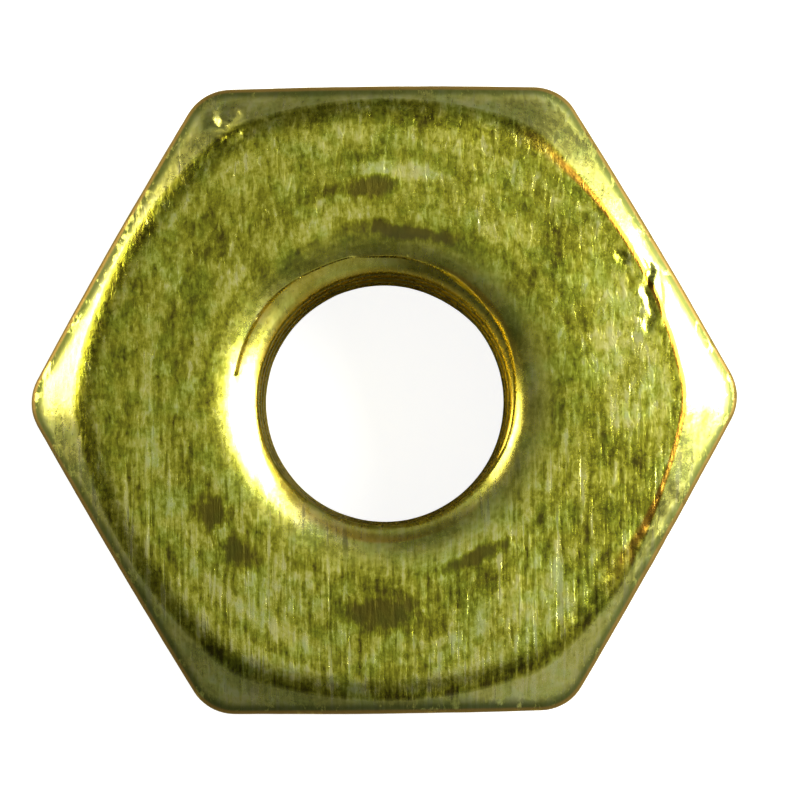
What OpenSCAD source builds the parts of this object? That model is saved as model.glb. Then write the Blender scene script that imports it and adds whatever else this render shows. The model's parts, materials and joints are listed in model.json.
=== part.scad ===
// Small brass hex nut, one solid piece, threaded right through.
// Millimetres. The origin is the centre of the bearing face. +Z runs along the
// hole towards the chamfered face, and two corners lie on the X axis.

/* [Body] */
// Width across the flats
across_flats = 8.73; // [8.4:0.01:8.9]
// Height from the bearing face to the chamfered face
thickness = 3.175; // [2.8:0.025:3.4]
// Radius on the six upright corners
corner_r = 0.65; // [0.2:0.05:0.9]

/* [Chamfer] */
// Diameter of the flat that the chamfer leaves on the top face
top_face_d = 8.06; // [7.6:0.01:8.3]
// Diameter outside which the bearing face's corners are trimmed
bearing_face_d = 9.6; // [9.4:0.05:9.8]
// Slope of both, in degrees from the face
chamfer_slope = 30; // [20:1:40]

/* [Thread] */
// Diameter at the bottom of the groove
major_d = 4.166; // [4.1:0.001:4.2]
// Diameter of the hole between the grooves
minor_d = 3.5; // [3.48:0.01:3.53]
// Turns of thread in an inch
turns_per_inch = 32; // [32,36]
// Diameter of the countersink where it meets each face
mouth_d = 3.86; // [3.7:0.01:4.1]
// Slope of the countersink, in degrees from the face
mouth_slope = 45; // [35:1:50]
// Where the groove runs out of the top face, in degrees from the X axis
run_out_angle = 160; // [0:5:355]
// Straight steps in one turn of the groove
steps_per_turn = 36; // [24:4:48]

/* [Hidden] */
$fn = 96;
brass = [0.79, 0.68, 0.33];
past = 1;                                  // how far a cutter runs past a face

half_flats = across_flats / 2;
corner_reach = half_flats / cos(30);       // from the axis to a sharp corner
corner_axis = corner_reach - corner_r / cos(30);  // to a rounded corner's centre
corner_step = 7.5;                         // turn from one step of a corner to the next

minor_r = minor_d / 2;
major_r = major_d / 2;
mouth_r = mouth_d / 2;
mouth_depth = (mouth_r - minor_r) * tan(mouth_slope);

// The groove is a 60 degree V with a flat of an eighth of the pitch at its
// bottom, and its cutter starts a little inside the hole.
pitch = 25.4 / turns_per_inch;
flank = 30;                                // lean of each side of the V
half_bottom = pitch / 16;
cut_from_r = minor_r - 0.1;
half_open = half_bottom + (major_r - cut_from_r) * tan(flank);
groove_profile = [
    [cut_from_r, -half_open],
    [major_r, -half_bottom],
    [major_r, half_bottom],
    [cut_from_r, half_open]
];
sides = len(groove_profile);
turns = ceil(thickness / pitch) + 2;       // one spare turn past each face
rings = turns * steps_per_turn;
first_z = thickness - (turns - 1) * pitch; // height where the cutter starts

function along(a) = [cos(a), sin(a)];

// A right-hand helix: it climbs one pitch in each anticlockwise turn
function on_helix(p, a) = [p[0] * cos(a), p[0] * sin(a), p[1] + pitch * a / 360];
function groove_points() = [
    for (i = [0:rings], p = groove_profile) on_helix(p, 360 * i / steps_per_turn)
];

// Two triangles on each side of the cutter, from one ring to the next
function ring_faces(i) = [
    for (j = [0:sides - 1], half = [0, 1])
        let (a = i * sides, b = a + sides, k = (j + 1) % sides)
            half == 0 ? [a + j, a + k, b + j] : [a + k, b + k, b + j]
];
function end_face(i) = [for (j = [0:sides - 1]) i * sides + j];
function reversed(list) = [for (j = [len(list) - 1:-1:0]) list[j]];
function groove_faces() = [
    reversed(end_face(0)),
    for (i = [0:rings - 1]) each ring_faces(i),
    end_face(rings)
];

module thread_groove()
    translate([0, 0, first_z])
        rotate(run_out_angle)
            polyhedron(groove_points(), groove_faces());

// Six flats, with upright corners rounded in short straight steps
module rounded_hex()
    linear_extrude(thickness)
        polygon([
            for (corner = [0:5], a = [-30:corner_step:30])
                corner_axis * along(60 * corner) + corner_r * along(60 * corner + a)
        ]);

// What the lathe leaves: a chamfer all round the top, and a light trim on the
// corners of the bearing face
module turned_envelope() {
    reach = corner_reach + past;
    top_r = top_face_d / 2;
    bearing_r = bearing_face_d / 2;
    rotate_extrude()
        polygon([
            [0, 0],
            [bearing_r, 0],
            [reach, (reach - bearing_r) * tan(chamfer_slope)],
            [reach, thickness - (reach - top_r) * tan(chamfer_slope)],
            [top_r, thickness],
            [0, thickness]
        ]);
}

module hole()
    translate([0, 0, -past])
        cylinder(r = minor_r, h = thickness + 2 * past);

// Opens the bearing face's end of the hole
module countersink()
    rotate_extrude()
        polygon([
            [0, -past],
            [mouth_r + past / tan(mouth_slope), -past],
            [minor_r, mouth_depth],
            [0, mouth_depth]
        ]);

module nut()
    color(brass)
        difference() {
            intersection() {
                rounded_hex();
                turned_envelope();
            }
            hole();
            countersink();
            translate([0, 0, thickness])
                mirror([0, 0, 1])
                    countersink();
            thread_groove();
        }

nut();
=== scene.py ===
"""The looks of a small brass hex nut, made round its CAD frame.

The body is one closed mesh, grown by Geometry Nodes as eight strips that run
right round the nut: the threaded hole, the top face, the chamfer, the flats,
the bearing face and the rounded edges between them. The strips meet line on
line and are merged into one skin.
"""

import json
from math import ceil, cos, pi, radians, sin, tan

import bmesh
import bpy
from mathutils import Matrix, Vector

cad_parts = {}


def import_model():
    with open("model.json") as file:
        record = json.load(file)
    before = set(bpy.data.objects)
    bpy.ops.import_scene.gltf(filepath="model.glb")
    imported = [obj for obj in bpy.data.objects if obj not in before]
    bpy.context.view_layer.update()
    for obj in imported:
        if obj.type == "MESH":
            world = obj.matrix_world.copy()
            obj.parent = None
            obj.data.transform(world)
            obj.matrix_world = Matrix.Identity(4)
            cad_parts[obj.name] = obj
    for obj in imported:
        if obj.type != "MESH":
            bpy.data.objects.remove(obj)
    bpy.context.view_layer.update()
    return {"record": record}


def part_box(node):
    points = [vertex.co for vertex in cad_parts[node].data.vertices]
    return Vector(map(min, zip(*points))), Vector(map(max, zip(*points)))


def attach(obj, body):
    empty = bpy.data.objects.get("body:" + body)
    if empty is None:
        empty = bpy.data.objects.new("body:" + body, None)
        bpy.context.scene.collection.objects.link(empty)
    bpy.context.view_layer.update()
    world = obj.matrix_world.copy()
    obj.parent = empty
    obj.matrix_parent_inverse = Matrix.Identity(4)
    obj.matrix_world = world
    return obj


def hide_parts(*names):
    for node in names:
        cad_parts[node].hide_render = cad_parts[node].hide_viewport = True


bl_info = {
    "name": "Brass hex nut",
    "version": (1, 0, 0),
    "blender": (4, 5, 0),
    "location": "3D View > Sidebar > Nut",
    "description": "Makes a worn brass hex nut and the plain stage it lies on",
    "category": "Add Mesh",
}

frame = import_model()

MM = 0.001
MOUNTS = {mount["name"]: mount for mount in frame["record"]["mounts"]}
CAD_LOW, CAD_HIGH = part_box("nut")
HALF_FLATS = MOUNTS["spanner_flat_a"]["pos_m"][1]
HEIGHT = MOUNTS["top_face"]["pos_m"][2]
HOLE_RADIUS = MOUNTS["thread"]["dims"]["r_mm"] * MM
WALL_LENGTH = MOUNTS["thread"]["dims"]["length_mm"] * MM
MOUTH_DEPTH = (HEIGHT - WALL_LENGTH) / 2
SHARP_REACH = HALF_FLATS / cos(radians(30))
CORNER_RADIUS = (SHARP_REACH - CAD_HIGH[0]) / (1 / cos(radians(30)) - 1)

FLANK = radians(30)       # lean of each side of the thread's groove
SHOULDER = 2.6            # how sharply the face's dip rounds into the hole
SOFT = 0.02 * MM          # how softly the thread's edges and the countersinks meet
MERGE = 1e-7              # strips' matching points lie closer than this
MIDDLE = 0.5              # noise goes as far above this as below it

# Each strip has so many faces right round the nut, and so many rows of them
COLUMNS = 480
FACE_ROWS = 48
ROLL_ROWS = 8
CHAMFER_ROWS = 18
EDGE_ROWS = 5
FLAT_ROWS = 16
BASE_ROWS = 16
ROWS_PER_TURN = 16        # of the thread

# What the skin tells the brass about each place on it
MARKS = ("clean", "brink", "rim_line", "rim_shade", "outline", "groove", "crest_line", "depth",
         "drawn")

LAMP_DISTANCE = 60 * MM
FLOOR_SIDE = 400 * MM     # from the nut to each side of the floor
GLOW_CHANGES_FROM = 15    # millimetres from the axis: the near glow reaches this far,
GLOW_CHANGES_TO = 70      # and the far glow starts here
SENSOR_WIDTH = 36         # in millimetres, as Blender gives its lenses
DIM_ROOM = 0.057          # strength of the room's light from every side,
OVERHEAD_GLOW = 0.325     # of what is added overhead,
HORIZON_GLOW = 0.2        # and of what is added low down
ROOM_TINT = (0.96, 1.0, 1.0, 1.0)


# ---------------------------------------------------------------- properties

def length(name, description, millimetres):
    return bpy.props.FloatProperty(
        name=name, description=description, default=millimetres * MM,
        min=0.0, unit="LENGTH", subtype="DISTANCE", precision=6)


def offset(name, description, millimetres):
    return bpy.props.FloatProperty(
        name=name, description=description, default=millimetres * MM,
        unit="LENGTH", subtype="DISTANCE", precision=6)


def angle(name, description, degrees):
    return bpy.props.FloatProperty(
        name=name, description=description, default=radians(degrees),
        unit="ROTATION", subtype="ANGLE")


def portion(name, description, default):
    return bpy.props.FloatProperty(
        name=name, description=description, default=default,
        min=0.0, max=1.0, subtype="FACTOR")


def colour(name, description, red, green, blue):
    return bpy.props.FloatVectorProperty(
        name=name, description=description, default=(red, green, blue),
        size=3, min=0.0, max=1.0, subtype="COLOR")


class NutSizes(bpy.types.PropertyGroup):
    half_flats: length("Half across flats", "From the axis to each flat", HALF_FLATS / MM)
    corner_radius: length("Corner radius", "Radius on the upright corners", CORNER_RADIUS / MM)
    height: length("Height", "From the bearing face to the top face", HEIGHT / MM)
    hole_radius: length("Hole radius", "From the axis to the thread's crests", HOLE_RADIUS / MM)
    groove_radius: length("Groove radius", "From the axis to the thread's root", 2.083)
    pitch: length("Pitch", "Height of one turn of the thread", 25.4 / 32)
    mouth_depth: length("Mouth depth", "Depth of the countersink at each end", MOUTH_DEPTH / MM)
    mouth_flare: length("Mouth flare", "How far the countersink's rim rolls outwards", 0.05)
    mouth_shift: length("Mouth shift", "How far the countersink is off the hole's axis", 0.03)
    mouth_side: angle("Mouth side", "The side that the countersink lies towards", 150)
    run_out: angle("Run-out", "Where the groove runs out of the top face", 160)
    face_radius: length("Face radius", "From the axis to the chamfer, on a flat", 3.99)
    face_stretch: length("Face stretch", "How much further that is at a corner", 0.17)
    chamfer_slope: angle("Chamfer slope", "Fall of the chamfer from the face", 30)
    trim_radius: length("Trim radius", "Where the bearing face's corners are trimmed", 4.8)
    face_roll: length("Face roll", "Reach of the worn edge between face and chamfer", 0.22)
    crisp_roll: length("Crisp roll", "Reach of that edge where it is still crisp", 0.05)
    crisp_side: angle("Crisp side", "The side where that edge is crisp", 12)
    flat_roll: length("Flat roll", "Reach of the edge between chamfer and flat", 0.08)
    face_dip: length("Face dip", "How far the face sinks at the hole", 0.12)
    dip_width: length("Dip width", "How far from the hole the face starts to sink", 0.72)
    unevenness: length("Unevenness", "Depth of the hollows that wear has left", 0.012)
    knocks: length("Knocks", "Depth of the dents and of the folded edge", 0.05)


class BrassColours(bpy.types.PropertyGroup):
    stain: colour("Stain", "Darkest spots", 0.135, 0.115, 0.018)
    tarnish: colour("Tarnish", "Dark olive film", 0.34, 0.335, 0.028)
    film: colour("Film", "Thin film over most of the brass", 0.53, 0.525, 0.048)
    bright: colour("Bright", "Brass rubbed clean", 0.80, 0.785, 0.15)
    polished: colour("Polished", "Fresh cuts", 0.95, 0.92, 0.36)
    pale: colour("Pale", "Pale metal of the chamfer and the hole's rim", 0.88, 0.86, 0.42)
    greening: colour("Greening", "Tint of the greener patches", 0.80, 0.94, 0.85)
    yellowing: colour("Yellowing", "Tint of the yellower patches", 1.0, 0.97, 0.82)
    warm: colour("Warm", "Orange along the thread", 0.72, 0.42, 0.04)
    brown: colour("Brown", "The rounded edges of the outline", 0.30, 0.19, 0.05)
    # Painted shade: a darker brown laid over the hole's wall, the more the deeper it lies
    hole_shade: colour("Grime", "Dirt deep in the hole", 0.34, 0.25, 0.03)
    crust: colour("Crust", "Dull green crust near the outline", 0.04, 0.055, 0.012)
    rim: colour("Rim", "Brown orange line along the crisp edge", 0.28, 0.14, 0.015)
    glint: colour("Glint", "Tint of what is reflected at a glancing angle", 1.0, 0.9, 0.42)
    relief: length("Relief", "Depth of the fine relief", 0.011)


class StageSettings(bpy.types.PropertyGroup):
    camera_height: length("Camera height", "Above the top face", 36)
    camera_x: offset("Camera X", "To the right of the hole's axis", -0.1)
    camera_y: offset("Camera Y", "Below the hole's axis in the view", 0.85)
    aim_x: offset("Aim X", "Place at the middle of the view", 0.21)
    aim_y: offset("Aim Y", "Place at the middle of the view", -0.02)
    view_width: length("View width", "Width of the view at the top face", 11.02)
    turn: angle("Turn", "How far the nut lies turned in the view", 0.6)
    floor: colour("Floor", "Colour of the plain floor", 0.36, 0.36, 0.355)
    near_glow: portion("Near glow", "How brightly the floor glows round the nut", 0.9)
    far_glow: portion("Far glow", "The same far away, where it meets the backdrop", 1.0)


# ------------------------------------------------------- arithmetic on fields

class Number:
    """A value in a node tree that adds, multiplies and compares like a number."""

    def __init__(self, tree, socket):
        self.tree = tree
        self.socket = socket

    def _math(self, operation, *values):
        node = self.tree.nodes.new("ShaderNodeMath")
        node.operation = operation
        for socket, value in zip(node.inputs, (self, *values)):
            plug(self.tree, value, socket)
        return Number(self.tree, node.outputs[0])

    def __add__(self, other):
        return self._math("ADD", other)

    def __sub__(self, other):
        return self._math("SUBTRACT", other)

    def __mul__(self, other):
        return self._math("MULTIPLY", other)

    def __truediv__(self, other):
        return self._math("DIVIDE", other)

    def __radd__(self, other):
        return self._math("ADD", other)

    def __rmul__(self, other):
        return self._math("MULTIPLY", other)

    def __rsub__(self, other):
        return (self * -1.0) + other

    def less_than(self, other):
        return self._math("LESS_THAN", other)

    def least(self, other):
        return self._math("MINIMUM", other)

    def most(self, other):
        return self._math("MAXIMUM", other)

    def soft_least(self, other, reach):
        return self._math("SMOOTH_MIN", other, reach)

    def soft_most(self, other, reach):
        return self._math("SMOOTH_MAX", other, reach)

    def zigzag(self, peak):
        return self._math("PINGPONG", peak)

    def power(self, other):
        return self._math("POWER", other)

    def cosine(self):
        return self._math("COSINE")

    def sine(self):
        return self._math("SINE")

    def tangent(self):
        return self._math("TANGENT")

    def root(self):
        return self._math("SQRT")

    def absolute(self):
        return self._math("ABSOLUTE")


def plug(tree, value, socket):
    """Links a number or a socket to an input, or sets the input to a plain value."""
    if isinstance(value, Number):
        tree.links.new(value.socket, socket)
    elif isinstance(value, bpy.types.NodeSocket):
        tree.links.new(value, socket)
    else:
        socket.default_value = value


def node_with(tree, kind, inputs=(), **settings):
    """Adds a node, sets its settings, and fills its inputs by name."""
    node = tree.nodes.new(kind)
    for name, value in settings.items():
        setattr(node, name, value)
    for name, value in dict(inputs).items():
        plug(tree, value, node.inputs[name])
    return node


def smooth_step(value, low, high):
    """0 below low and 1 above high, with an even curve between them."""
    node = node_with(value.tree, "ShaderNodeMapRange",
                     {"Value": value, "From Min": low, "From Max": high},
                     interpolation_type="SMOOTHSTEP")
    return Number(value.tree, node.outputs["Result"])


def distance(x, y):
    """From the origin to a place, given its two parts."""
    return (x.power(2.0) + y.power(2.0)).root()


def blend(share, first, second):
    """first where share is 0, second where it is 1."""
    return first + (second - first) * share


# ------------------------------------------------------------- the nut's tree

def tree_with_sizes(name, sizes):
    """A Geometry Nodes tree with one named input for each size, and a material."""
    tree = bpy.data.node_groups.new(name, "GeometryNodeTree")
    tree.interface.new_socket("Geometry", in_out="OUTPUT", socket_type="NodeSocketGeometry")
    for key in sizes.__annotations__:
        title = sizes.bl_rna.properties[key].name
        tree.interface.new_socket(title, in_out="INPUT", socket_type="NodeSocketFloat")
    tree.interface.new_socket("Material", in_out="INPUT", socket_type="NodeSocketMaterial")
    return tree


def hexagon_radius(turn, half_flats, corner_radius):
    """From the axis to the outline, for an angle in radians from a corner."""
    sixth = pi / 6
    from_corner = turn.zigzag(sixth)
    straight = half_flats / (sixth - from_corner).cosine()
    centre = (half_flats - corner_radius) / cos(sixth)
    across = centre * from_corner.sine()
    curved = centre * from_corner.cosine() + (
        corner_radius.power(2.0) - across.power(2.0)).root()
    tangent_at = (corner_radius * 0.5) / (centre + corner_radius * cos(sixth))
    on_corner = from_corner.tangent().less_than(tangent_at)
    return blend(on_corner, straight, curved)


def rim_height(size):
    """Height of the hole's upper rim."""
    return size["Height"] - size["Face dip"]


def from_groove(height, turn, size):
    """Distance, up or down, to the nearest turn of the groove's middle."""
    groove = rim_height(size) + size["Pitch"] * (turn - size["Run-out"]) / (2 * pi)
    return (height - groove).zigzag(size["Pitch"] * 0.5)


def crest_lines(height, turn, size):
    """1 along both edges of the thread's crest, and 0 away from them."""
    half_root = size["Pitch"] / 16.0
    flank_end = (size["Groove radius"] - size["Hole radius"]) * tan(FLANK) + half_root
    away = (from_groove(height, turn, size) - flank_end).absolute()
    return 1.0 - smooth_step(away, 0.01 * MM, 0.06 * MM)


def wall_radius(height, turn, size):
    """From the axis to the wall of the hole: thread, countersinks and rolled rims."""
    half_root = size["Pitch"] / 16.0
    slope = size["Groove radius"] - (from_groove(height, turn, size) - half_root) / tan(FLANK)
    thread = slope.soft_most(size["Hole radius"], SOFT).soft_least(size["Groove radius"], SOFT)
    inside = (rim_height(size) - height).least(height).most(0.0)
    shift = size["Mouth shift"] * (turn - size["Mouth side"]).cosine()
    cone = size["Hole radius"] + size["Mouth depth"] - inside + shift
    rolled = (1.0 - inside / (size["Mouth flare"] * 1.6)).most(0.0)
    return thread.soft_most(cone + size["Mouth flare"] * rolled.power(2.0), SOFT)


def strip(tree, rows, places, **marks):
    """A strip of faces right round the nut. places holds each point's angle, radius and height.

    The marks are stored on the skin, for the brass to read.
    """
    grid = node_with(tree, "GeometryNodeMeshGrid", {
        "Size X": 1.0, "Size Y": 1.0, "Vertices X": COLUMNS + 1, "Vertices Y": rows + 1})
    turn, radius, height = places
    place = node_with(tree, "ShaderNodeCombineXYZ", {
        "X": radius * turn.cosine(), "Y": radius * turn.sine(), "Z": height})
    marked = grid.outputs["Mesh"]
    for name in MARKS:
        value = marks.get(name, 0.0)
        marked = node_with(tree, "GeometryNodeStoreNamedAttribute", {
            "Geometry": marked, "Name": name, "Value": value}).outputs["Geometry"]
    return node_with(tree, "GeometryNodeSetPosition", {
        "Geometry": marked, "Position": place.outputs[0]}).outputs["Geometry"]


def crispness(turn, size):
    """1 on the side where the face's edge is still crisp, and 0 on the other sides."""
    return smooth_step((turn - size["Crisp side"]).cosine(), 0.55, 0.9)


def profile(turn, size):
    """Named places on the profile at an angle, each a radius and a height."""
    outline = hexagon_radius(turn, size["Half across flats"], size["Corner radius"])
    sharp_reach = size["Half across flats"] / cos(pi / 6)
    to_corner = (outline - size["Half across flats"]) / (sharp_reach - size["Half across flats"])
    top = rim_height(size)
    base = 0.0 * outline
    fall = size["Chamfer slope"].tangent()
    face_edge = size["Face radius"] + size["Face stretch"] * to_corner
    chamfer_foot = size["Height"] - (outline - face_edge) * fall
    trim = (outline - size["Trim radius"]).most(0.0) * fall
    crisp = crispness(turn, size)
    face_roll = blend(crisp, size["Face roll"], size["Crisp roll"])
    flat_roll = size["Flat roll"]
    return {
        "rim": [wall_radius(top, turn, size), top],
        "roll start": [face_edge - face_roll, size["Height"]],
        "roll bend": [face_edge, size["Height"]],
        "roll end": [face_edge + face_roll * 0.8, size["Height"] - face_roll * 0.8 * fall],
        "foot start": [outline - flat_roll, chamfer_foot + flat_roll * fall],
        "foot bend": [outline, chamfer_foot],
        "foot end": [outline, chamfer_foot - flat_roll],
        "base start": [outline, trim + flat_roll],
        "base bend": [outline, trim],
        "base end": [(outline - flat_roll * 0.7).least(size["Trim radius"]), base],
        "lower rim": [wall_radius(base, turn, size), base],
    }


def dipped(face, rim, size):
    """The face, sunk a little towards the hole."""
    radius = face[0]
    near_hole = (1.0 - (radius - rim[0]) / size["Dip width"]).most(0.0)
    return [radius, size["Height"] - size["Face dip"] * near_hole.power(SHOULDER)]


def hole_strip(tree, turn, round_share, along, size, turns):
    """The wall of the hole. Its rows climb with the thread, along its crests and grooves."""
    top = rim_height(size)
    pitch = size["Pitch"]
    climbing = along * turns * pitch - pitch + pitch * round_share
    height = climbing.most(0.0).least(top)
    radius = wall_radius(height, turn, size)
    return strip(
        tree, turns * ROWS_PER_TURN, [turn, radius, height],
        groove=smooth_step(radius, size["Hole radius"], size["Groove radius"]),
        crest_line=crest_lines(height, turn, size),
        # How deep down the hole each place lies; the brass paints shade from it
        depth=smooth_step(top - height, 0.1 * MM, 0.6 * MM))


def all_strips(tree, size, turns):
    """Every strip of the nut's skin, from the face outwards, down, and up the hole."""
    # Each strip starts as a unit square: its X runs round the nut, its Y along the profile
    square = node_with(tree, "ShaderNodeSeparateXYZ",
                       {"Vector": tree.nodes.new("GeometryNodeInputPosition").outputs[0]})
    round_share = Number(tree, square.outputs["X"]) + 0.5
    along = Number(tree, square.outputs["Y"]) + 0.5
    turn = round_share * (2 * pi)
    back = 1.0 - along
    at = profile(turn, size)

    def straight(start, end):
        return [blend(along, a, b) for a, b in zip(at[start], at[end])]

    def rounded(start, bend, end):
        return [back * back * a + 2.0 * back * along * b + along * along * c
                for a, b, c in zip(at[start], at[bend], at[end])]

    hump = 4.0 * along * back
    brown_edge = (hump * 1.6).least(1.0)
    crisp = crispness(turn, size)
    chamfer = straight("roll end", "foot start")
    outline = at["foot end"][0]
    return [
        strip(tree, FACE_ROWS, [turn, *dipped(straight("rim", "roll start"), at["rim"], size)]),
        strip(tree, ROLL_ROWS, [turn, *rounded("roll start", "roll bend", "roll end")],
              rim_line=hump * crisp, rim_shade=(1.0 - crisp) * smooth_step(along, 0.4, 0.9)),
        strip(tree, CHAMFER_ROWS, [turn, *chamfer], clean=1.0,
              brink=smooth_step(chamfer[0] - outline, -0.30 * MM, -0.10 * MM)),
        strip(tree, EDGE_ROWS, [turn, *rounded("foot start", "foot bend", "foot end")],
              clean=1.0, outline=brown_edge, brink=1.0, drawn=along),
        strip(tree, FLAT_ROWS, [turn, *straight("foot end", "base start")], drawn=1.0),
        strip(tree, EDGE_ROWS, [turn, *rounded("base start", "base bend", "base end")],
              clean=1.0, outline=brown_edge),
        strip(tree, BASE_ROWS, [turn, *straight("base end", "lower rim")]),
        hole_strip(tree, turn, round_share, along, size, turns),
    ]


def body_tree(sizes):
    """The tree that grows the whole nut from its sizes."""
    tree = tree_with_sizes("Nut body", sizes)
    given = tree.nodes.new("NodeGroupInput")
    size = {socket.name: Number(tree, socket) for socket in given.outputs[:-2]}
    turns = ceil(sizes.height / sizes.pitch - 0.01) + 1
    joined = tree.nodes.new("GeometryNodeJoinGeometry")
    for made in reversed(all_strips(tree, size, turns)):
        tree.links.new(made, joined.inputs[0])
    skin = node_with(tree, "GeometryNodeMergeByDistance", {
        "Geometry": joined.outputs[0], "Distance": MERGE}).outputs[0]
    skin = node_with(tree, "GeometryNodeFlipFaces", {"Mesh": skin}).outputs[0]
    skin = worn(tree, skin, size)
    smooth = node_with(tree, "GeometryNodeSetShadeSmooth", {"Geometry": skin}).outputs[0]
    real = node_with(tree, "GeometryNodeRealizeInstances", {"Geometry": smooth}).outputs[0]
    finish = node_with(tree, "GeometryNodeSetMaterial", {
        "Geometry": real, "Material": given.outputs["Material"]}).outputs[0]
    tree.links.new(finish, tree.nodes.new("NodeGroupOutput").inputs[0])
    return tree


def noise(tree, place, scale, detail=3.0, roughness=0.55, distortion=0.0,
          stretch=(1, 1, 1), shift=(0, 0, 0)):
    """Cloudy noise from about 0.3 to 0.7, finer as scale grows; stretch packs it closer."""
    moved = node_with(tree, "ShaderNodeVectorMath", {0: place, 1: stretch, 2: shift},
                      operation="MULTIPLY_ADD")
    made = node_with(tree, "ShaderNodeTexNoise", {
        "Vector": moved.outputs[0], "Scale": scale, "Detail": detail,
        "Roughness": roughness, "Distortion": distortion})
    return Number(tree, made.outputs[0])


def millimetres(tree, metres):
    """A place in millimetres, as a vector and as its three parts."""
    place = node_with(tree, "ShaderNodeVectorMath", {0: metres, "Scale": 1 / MM},
                      operation="SCALE").outputs[0]
    parts = node_with(tree, "ShaderNodeSeparateXYZ", {"Vector": place})
    return place, *(Number(tree, socket) for socket in parts.outputs)


def spot(x, y, centre, half_length, half_width, lean, ragged=0.0):
    """1 inside a leaning oval, falling softly to 0 outside it. Sizes are in millimetres."""
    across = x - centre[0]
    up = y - centre[1]
    along = (across * cos(lean) + up * sin(lean)) / half_length
    aside = (up * cos(lean) - across * sin(lean)) / half_width
    return 1.0 - smooth_step(distance(along, aside) + ragged, 0.5, 1.2)


def corner_knocks(tree, place, x, y):
    """A cluster of knocks has left lumps and dents on the upper left corner."""
    lumps = (noise(tree, place, 4.2, detail=1.5, roughness=0.4, shift=(4, 1, 6)) - MIDDLE) * 5.0
    return lumps * spot(x, y, (-2.12, 3.84), 0.36, 0.26, radians(-50))


def fold(x, y):
    """A wavering crack beside the crisp edge, with a lip outside it and a nick above it."""
    crack = 3.66 + 0.045 * (y * 11.0 + 1.2).sine() + 0.02 * (y * 29.0).sine()
    reach = smooth_step(y, 0.85, 1.0) * (1.0 - smooth_step(y, 1.75, 1.95))
    crack_depth = 1.0 - smooth_step((x - crack).absolute(), 0.0, 0.06)
    lip = spot(x, y, (3.78, 1.4), 0.5, 0.1, pi / 2)
    nick = spot(x, y, (3.30, 1.92), 0.12, 0.06, radians(-30))
    return crack_depth * reach - lip * 0.3 + nick * 0.7


def chatter(tree, place, x, y):
    """Ripples across the edge of the face on the lower right."""
    ripples = (noise(tree, place, 1.0, detail=2.0, stretch=(7.5, 2.5, 0.0)) - MIDDLE) * 2.0
    lower_right = smooth_step(x, 2.2, 3.0) * smooth_step(-1.0 * y, 1.0, 1.6)
    edge_band = 1.0 - smooth_step((distance(x, y) - 4.12).absolute(), 0.1, 0.3)
    return ripples * lower_right * edge_band * 0.9


def worn(tree, skin, size):
    """Sinks hollows, dents and a fold into the skin, and keeps it inside its box."""
    position = tree.nodes.new("GeometryNodeInputPosition").outputs[0]
    place, x, y, z = millimetres(tree, position)
    upper = smooth_step(z, 1.5, 2.2)
    hollows = noise(tree, place, 1.1) + 0.3 * noise(tree, place, 4.5, detail=2.0)
    knocks = corner_knocks(tree, place, x, y) + fold(x, y) + chatter(tree, place, x, y)
    inwards = (hollows * size["Unevenness"] + knocks * upper * size["Knocks"]) * -1.0
    sunk = node_with(tree, "ShaderNodeVectorMath", {
        0: tree.nodes.new("GeometryNodeInputNormal").outputs[0], "Scale": inwards},
        operation="SCALE")
    moved = node_with(tree, "ShaderNodeVectorMath", {0: position, 1: sunk.outputs[0]},
                      operation="ADD")
    lifted = node_with(tree, "ShaderNodeVectorMath", {
        0: moved.outputs[0], 1: tuple(CAD_LOW)}, operation="MAXIMUM")
    lowered = node_with(tree, "ShaderNodeVectorMath", {
        0: lifted.outputs[0], 1: tuple(CAD_HIGH)}, operation="MINIMUM")
    return node_with(tree, "GeometryNodeSetPosition", {
        "Geometry": skin, "Position": lowered.outputs[0]}).outputs["Geometry"]


def grow(name, tree, sizes, material):
    """Runs the tree on an empty mesh, and keeps the result as a plain mesh."""
    seed = bpy.data.objects.new(name + "_seed", bpy.data.meshes.new(name + "_seed"))
    bpy.context.scene.collection.objects.link(seed)
    modifier = seed.modifiers.new("Grow", "NODES")
    modifier.node_group = tree
    inputs = [item for item in tree.interface.items_tree if item.in_out == "INPUT"]
    by_title = {sizes.bl_rna.properties[key].name: key for key in sizes.__annotations__}
    for item in inputs:
        modifier[item.identifier] = (
            material if item.name == "Material" else getattr(sizes, by_title[item.name]))
    graph = bpy.context.evaluated_depsgraph_get()
    mesh = bpy.data.meshes.new_from_object(seed.evaluated_get(graph))
    bpy.data.objects.remove(seed)
    mesh.name = name
    made = bpy.data.objects.new(name, mesh)
    bpy.context.scene.collection.objects.link(made)
    return made


def check_skin(mesh):
    """Stops the script if the skin has a gap or is inside out."""
    skin = bmesh.new()
    skin.from_mesh(mesh)
    gaps = sum(1 for edge in skin.edges if not edge.is_manifold)
    volume = skin.calc_volume(signed=True)
    skin.free()
    if gaps or volume <= 0:
        raise RuntimeError(f"the nut's skin has {gaps} open edges and volume {volume}")
    print(f"nut: {len(mesh.polygons)} faces, {volume / MM ** 3:.1f} mm3")


# ------------------------------------------------------------------ the brass

def mixed(tree, share, first, second, blend_type="MIX"):
    """A colour between first and second; each is a socket or a plain colour."""
    made = node_with(tree, "ShaderNodeMix", data_type="RGBA", blend_type=blend_type)
    # The node's colours are its inputs 6 and 7, and its output 2
    plug(tree, share, made.inputs[0])
    for value, socket in ((first, made.inputs[6]), (second, made.inputs[7])):
        plug(tree, value if isinstance(value, bpy.types.NodeSocket) else (*value, 1.0), socket)
    return made.outputs[2]


# Dark stains on the face, in mm: place, half length, half width, and lean
STAINS = (
    ((-2.40, -1.55), 0.34, 0.28, radians(-50)),
    ((-2.05, -2.10), 0.36, 0.26, radians(-40)),
    ((-0.05, -2.95), 0.66, 0.30, radians(-4)),
    ((-0.20, 2.92), 0.50, 0.17, radians(4)),
    ((0.35, 2.30), 0.90, 0.12, radians(-8)),
    ((1.20, -2.20), 0.60, 0.12, radians(25)))

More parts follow.
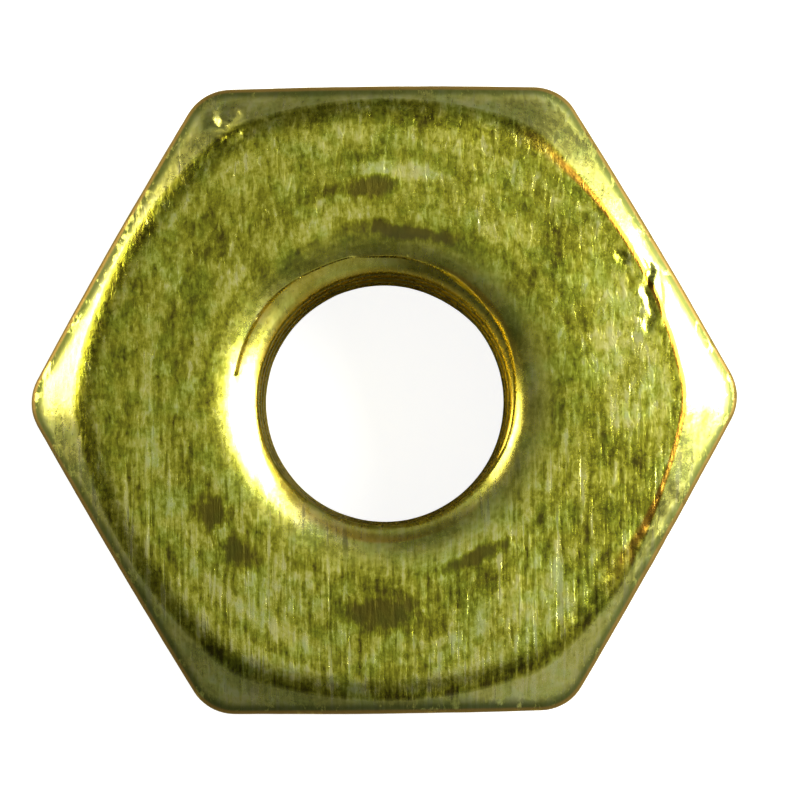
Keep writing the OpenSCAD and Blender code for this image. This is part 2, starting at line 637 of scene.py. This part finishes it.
# Places where the film is rubbed off, told in the same way
RUBBED = (
    ((-1.85, -3.15), 1.5, 0.45, radians(-32)),
    ((1.6, -3.2), 1.5, 0.5, radians(25)),
    ((3.3, 0.5), 1.3, 0.5, radians(-80)),
    ((0.1, 3.1), 0.8, 0.25, 0.0))

# Tones of the brass, from its darkest spots to fresh cuts
DARKEST_TONE = 0.11       # in the middle of a stain
STAIN_TONE = 0.12
TARNISH_TONE = 0.38
FILM_TONE = 0.55
BRIGHT_TONE = 0.74
POLISHED_TONE = 0.95
USUAL_TONE = 0.52         # of the face, before anything lightens or darkens it
USUAL_ROUGHNESS = 0.28


class BrassSkin:
    """The places, marks, patterns and scratches that the brass is mixed from."""

    def __init__(self, tree):
        self.tree = tree
        metres = tree.nodes.new("ShaderNodeTexCoord").outputs["Object"]
        self.place, self.x, self.y, self.z = millimetres(tree, metres)
        self.radius = distance(self.x, self.y)
        self.face = smooth_step(self.z, 2.6, 2.9)
        self.near_mouth = 1.0 - smooth_step(self.radius, 2.05, 2.5)
        self.clean = self.mark("clean")
        self.brink = self.mark("brink")
        self.drawn = self.mark("drawn")

        # Broad patches of film, then finer ones, and the fine upright lines of drawn bar
        self.patches = self.cloud(1.5, 5.0, 0.6)
        self.mottle = self.cloud(4.0, 4.0, 0.6, shift=(3, 7, 1))
        self.strokes = self.cloud(1.0, 4.0, 0.7, 0.4, stretch=(12, 4, 3), shift=(6, 2, 4))
        self.grain = self.cloud(15.0, 2.0, 0.6)
        self.lines = self.cloud(1.0, 3.0, 0.6, stretch=(9, 9, 0.5), shift=(1, 5, 2))

        # Scratches run along Y: long and dense at low Y, short and wavering at high Y
        self.below = smooth_step(-1.0 * self.y, -0.6, 1.6)
        self.brushed = self.cloud(1.0, 2.0, 0.5, stretch=(15, 1.1, 0.9))
        long_cuts = smooth_step(
            self.cloud(1.0, 2.0, 0.5, stretch=(12, 0.8, 0.8), shift=(5, 1, 0)), 0.07, 0.18)
        short_cuts = smooth_step(
            self.cloud(1.0, 2.0, 0.5, 0.5, stretch=(9, 3.2, 2), shift=(2, 9, 0)), 0.10, 0.20)
        self.cuts = (long_cuts * (0.2 + 0.8 * self.below)
                     + short_cuts * (0.75 - 0.5 * self.below))

    def mark(self, name):
        """What the nut's tree has stored on the skin under that name."""
        made = node_with(self.tree, "ShaderNodeAttribute", attribute_name=name)
        return Number(self.tree, made.outputs["Fac"])

    def cloud(self, *settings, **more):
        """Noise over the nut, going as far below 0 as above it."""
        return noise(self.tree, self.place, *settings, **more) - MIDDLE


def facing_rings(skin):
    """Rings left by the facing tool, each one changing slowly on its way round."""
    place = node_with(skin.tree, "ShaderNodeCombineXYZ", {
        "X": skin.radius * 3.2,
        "Y": skin.x / skin.radius * 0.8,
        "Z": skin.y / skin.radius * 0.8}).outputs[0]
    return noise(skin.tree, place, 1.0, 3.0, 0.6) - MIDDLE


def spots(skin, ovals, raggedness):
    """1 inside any of the leaning ovals, whose edges are ragged."""
    ragged = (skin.mottle + skin.strokes) * raggedness
    inside = 0.0
    for centre, half_length, half_width, lean in ovals:
        inside = inside + spot(skin.x, skin.y, centre, half_length, half_width, lean, ragged)
    return inside.least(1.0) * skin.face


def crust_of(skin):
    """Crust, in patches beside the outline."""
    ground = (skin.mottle + skin.strokes) * 0.5 + skin.patches * 0.4 + skin.brink * 0.13
    return smooth_step(ground, 0.0, 0.1) * skin.brink * 0.9


def tone_of(skin, stain):
    """How light the film is, from 0 to 1."""
    on_face = (skin.mottle * 0.5 + skin.strokes * 1.4 + skin.grain * 0.5
               + skin.brushed * (0.2 + 0.9 * skin.below) + skin.cuts * 0.3)
    on_flats = skin.lines * 0.9 + skin.mottle * 0.35 + skin.grain * 0.3
    texture = blend(skin.drawn, on_face, on_flats)
    strength = 1.0 - skin.near_mouth * 0.6 - skin.clean * 0.4
    tone = (USUAL_TONE + skin.patches * 0.6 + facing_rings(skin) + texture * strength
            + spots(skin, RUBBED, 0.44) * 0.18 + skin.clean * 0.2 + skin.near_mouth * 0.14)
    return blend(stain * 0.95, tone - skin.mark("rim_shade") * 0.12, DARKEST_TONE)


def film_colour(tree, tone, colours):
    """The film's colour for a tone, from stain to fresh cut."""
    film = node_with(tree, "ShaderNodeValToRGB", {"Fac": tone})
    stops = film.color_ramp.elements
    stops[0].position = STAIN_TONE
    stops[0].color = (*colours.stain, 1.0)
    stops[1].position = POLISHED_TONE
    stops[1].color = (*colours.polished, 1.0)
    between = ((TARNISH_TONE, colours.tarnish), (FILM_TONE, colours.film),
               (BRIGHT_TONE, colours.bright))
    for position, tint in between:
        stops.new(position).color = (*tint, 1.0)
    return film.outputs[0]


def colour_of(skin, tone, crust, colours):
    """The film, tinted in patches, with pale metal, painted shade deep in the hole, orange, crust
    and brown over it.
    """
    tree = skin.tree
    greener = smooth_step(skin.cloud(2.2, 3.0, 0.6, shift=(8, 4, 2)), -0.08, 0.16)
    tint = mixed(tree, greener * 0.7, colours.yellowing, colours.greening)
    painted = mixed(tree, 1.0, film_colour(tree, tone, colours), tint, "MULTIPLY")
    warm = skin.mark("crest_line") * 0.5 + skin.mark("groove") * 0.3
    coats = (
        (skin.clean * 0.2 + skin.near_mouth * 0.08, colours.pale),
        # Painted shade: the hole's wall is darkened and browned the deeper it goes
        (skin.mark("depth") * 0.45, colours.hole_shade),
        (warm.least(1.0), colours.warm),
        ((skin.mark("rim_line") * 1.5).least(0.95), colours.rim),
        (crust, colours.crust),
        (skin.mark("outline") * 0.9, colours.brown))
    for cover, coat in coats:
        painted = mixed(tree, cover, painted, coat)
    return painted


def roughness_of(skin, stain, crust):
    """Stains and crust are rougher, and scratches smoother."""
    return (USUAL_ROUGHNESS + skin.patches * 0.15 + skin.grain * 0.1 + stain * 0.1
            + crust * 0.3 - skin.cuts * 0.05)


def relief_of(skin):
    """The same marks as relief, which is fainter on the chamfer and near the hole."""
    on_face = (skin.mottle * 0.4 + skin.strokes * 0.6 + skin.grain * 0.13
               + skin.brushed * (0.1 + skin.below * 0.6) - skin.cuts * 0.15)
    near_rim = 1.0 - smooth_step(skin.radius, 2.2, 2.9)
    on_face = on_face * (1.0 - near_rim * 0.8) * (1.0 - skin.clean * 0.4)
    on_flats = skin.lines * 0.5 + skin.mottle * 0.2 + skin.grain * 0.1
    return blend(skin.drawn, on_face, on_flats)


def brass(colours):
    """Worn brass: an olive film, dark stains, scratches and warm edges."""
    material = bpy.data.materials.new("worn_brass")
    material.use_nodes = True
    tree = material.node_tree
    tree.nodes.clear()
    skin = BrassSkin(tree)
    stain = spots(skin, STAINS, 1.1)
    crust = crust_of(skin)
    bump = node_with(tree, "ShaderNodeBump", {
        "Height": relief_of(skin), "Distance": colours.relief, "Strength": 1.0})
    shader = node_with(tree, "ShaderNodeBsdfPrincipled", {
        "Base Color": colour_of(skin, tone_of(skin, stain), crust, colours),
        "Metallic": 1.0,
        "Roughness": roughness_of(skin, stain, crust),
        "Specular Tint": (*colours.glint, 1.0),
        "Normal": bump.outputs[0]})
    output = tree.nodes.new("ShaderNodeOutputMaterial")
    tree.links.new(shader.outputs[0], output.inputs["Surface"])
    return material


# ------------------------------------------------------------------ the stage

def floor_material(stage):
    """A matt floor that also glows to the eye, as a light table does."""
    material = bpy.data.materials.new("pale_floor")
    material.use_nodes = True
    tree = material.node_tree
    shader = tree.nodes["Principled BSDF"]
    shader.inputs["Base Color"].default_value = (*stage.floor, 1.0)
    shader.inputs["Roughness"].default_value = 0.8
    shader.inputs["Emission Color"].default_value = (1.0, 1.0, 1.0, 1.0)
    metres = tree.nodes.new("ShaderNodeTexCoord").outputs["Object"]
    x, y = millimetres(tree, metres)[1:3]
    away = smooth_step(distance(x, y), GLOW_CHANGES_FROM, GLOW_CHANGES_TO)
    path = tree.nodes.new("ShaderNodeLightPath")
    seen = Number(tree, path.outputs["Is Camera Ray"])
    glow = blend(away, stage.near_glow, stage.far_glow) * seen
    plug(tree, glow, shader.inputs["Emission Strength"])
    return material


def floor(stage):
    """A square of floor, level with the nut's bearing face."""
    side = FLOOR_SIDE
    corners = [(-side, -side, 0), (side, -side, 0), (side, side, 0), (-side, side, 0)]
    mesh = bpy.data.meshes.new("floor")
    mesh.from_pydata(corners, [], [(0, 1, 2, 3)])
    mesh.materials.append(floor_material(stage))
    made = bpy.data.objects.new("floor", mesh)
    bpy.context.scene.collection.objects.link(made)
    return made


# Each lamp's name, degrees round from +X, degrees up, width and height in mm, watts and tint
LAMPS = (
    ("right_light", 15, 36, 36, 44, 0.100, (1.0, 1.0, 1.0)),
    ("left_light", 162, 15, 34, 34, 0.030, (1.0, 0.94, 0.78)),
    ("front_light", 300, 32, 40, 26, 0.0009, (1.0, 1.0, 1.0)))


def soft_light(name, azimuth, elevation, width, height, watts, tint):
    """A rectangular lamp aimed at the nut."""
    azimuth = radians(azimuth)
    elevation = radians(elevation)
    level = cos(elevation)
    way = Vector((cos(azimuth) * level, sin(azimuth) * level, sin(elevation)))
    lamp = bpy.data.lights.new(name, "AREA")
    lamp.shape = "RECTANGLE"
    lamp.size = width * MM
    lamp.size_y = height * MM
    lamp.energy = watts
    lamp.color = tint
    made = bpy.data.objects.new(name, lamp)
    made.location = way * LAMP_DISTANCE
    made.rotation_euler = way.to_track_quat("Z", "Y").to_euler()
    made.visible_camera = False
    bpy.context.scene.collection.objects.link(made)
    return made


def world():
    """A dim room, brighter overhead and along the horizon, against a white backdrop."""
    made = bpy.data.worlds.new("studio")
    made.use_nodes = True
    tree = made.node_tree
    tree.nodes.clear()
    coords = tree.nodes.new("ShaderNodeTexCoord")
    way = node_with(tree, "ShaderNodeSeparateXYZ", {"Vector": coords.outputs["Generated"]})
    height = Number(tree, way.outputs["Z"])

    # The glow overhead leans a little towards +Y
    leaning = height + Number(tree, way.outputs["Y"]) * 0.04
    overhead = smooth_step(leaning, 0.845, 0.99)
    horizon = 1.0 - smooth_step(height, 0.2, 0.45)
    strength = DIM_ROOM + overhead * OVERHEAD_GLOW + horizon * HORIZON_GLOW
    seen = node_with(tree, "ShaderNodeBackground", {"Color": (1, 1, 1, 1), "Strength": 1.0})
    lit = node_with(tree, "ShaderNodeBackground", {"Color": ROOM_TINT, "Strength": strength})
    path = tree.nodes.new("ShaderNodeLightPath")
    both = node_with(tree, "ShaderNodeMixShader", {
        0: path.outputs["Is Camera Ray"], 1: lit.outputs[0], 2: seen.outputs[0]})
    out = tree.nodes.new("ShaderNodeOutputWorld")
    tree.links.new(both.outputs[0], out.inputs["Surface"])
    bpy.context.scene.world = made


def camera(stage):
    """Looks almost straight down on the nut, with the view's upright a little turned."""
    aim = Vector((stage.aim_x, stage.aim_y, HEIGHT))
    eye = Vector((stage.camera_x, -stage.camera_y, HEIGHT + stage.camera_height))
    lens = bpy.data.cameras.new("camera")
    lens.sensor_width = SENSOR_WIDTH
    lens.lens = lens.sensor_width * (eye - aim).length / stage.view_width
    lens.clip_start = 1 * MM
    lens.clip_end = 1000 * MM
    made = bpy.data.objects.new("camera", lens)
    backwards = (eye - aim).normalized()
    rightwards = Vector((sin(stage.turn), cos(stage.turn), 0)).cross(backwards).normalized()
    upwards = backwards.cross(rightwards)
    made.matrix_world = Matrix((
        (*rightwards, 0), (*upwards, 0), (*backwards, 0), (*eye, 1))).transposed()
    bpy.context.scene.collection.objects.link(made)
    bpy.context.scene.camera = made


# ----------------------------------------------------------------- operators

class NUT_OT_make_body(bpy.types.Operator):
    """Grow the nut's body and give it its brass"""
    bl_idname = "nut.make_body"
    bl_label = "Make the body"

    def execute(self, context):
        sizes, colours = context.scene.nut_sizes, context.scene.nut_colours
        body = grow("nut_body", body_tree(sizes), sizes, brass(colours))
        check_skin(body.data)
        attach(body, "root")
        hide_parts("nut")
        return {"FINISHED"}


class NUT_OT_make_stage(bpy.types.Operator):
    """Set the floor, the lights, the backdrop and the camera"""
    bl_idname = "nut.make_stage"
    bl_label = "Make the stage"

    def execute(self, context):
        stage = context.scene.nut_stage
        floor(stage)
        for lamp in LAMPS:
            soft_light(*lamp)
        world()
        camera(stage)
        context.scene.view_settings.view_transform = "Standard"
        return {"FINISHED"}


class NUT_PT_panel(bpy.types.Panel):
    """Makes the nut and its stage"""
    bl_label = "Brass hex nut"
    bl_space_type = "VIEW_3D"
    bl_region_type = "UI"
    bl_category = "Nut"

    def draw(self, context):
        for group in (context.scene.nut_sizes, context.scene.nut_colours, context.scene.nut_stage):
            for key in group.__annotations__:
                self.layout.prop(group, key)
        self.layout.operator(NUT_OT_make_body.bl_idname)
        self.layout.operator(NUT_OT_make_stage.bl_idname)


GROUPS = {"nut_sizes": NutSizes, "nut_colours": BrassColours, "nut_stage": StageSettings}
CLASSES = (*GROUPS.values(), NUT_OT_make_body, NUT_OT_make_stage, NUT_PT_panel)


def register():
    for made in CLASSES:
        bpy.utils.register_class(made)
    for name, group in GROUPS.items():
        setattr(bpy.types.Scene, name, bpy.props.PointerProperty(type=group))


def unregister():
    for name in GROUPS:
        delattr(bpy.types.Scene, name)
    for made in reversed(CLASSES):
        bpy.utils.unregister_class(made)


def main():
    register()
    bpy.ops.nut.make_body()
    bpy.ops.nut.make_stage()


if __name__ == "__main__":
    main()
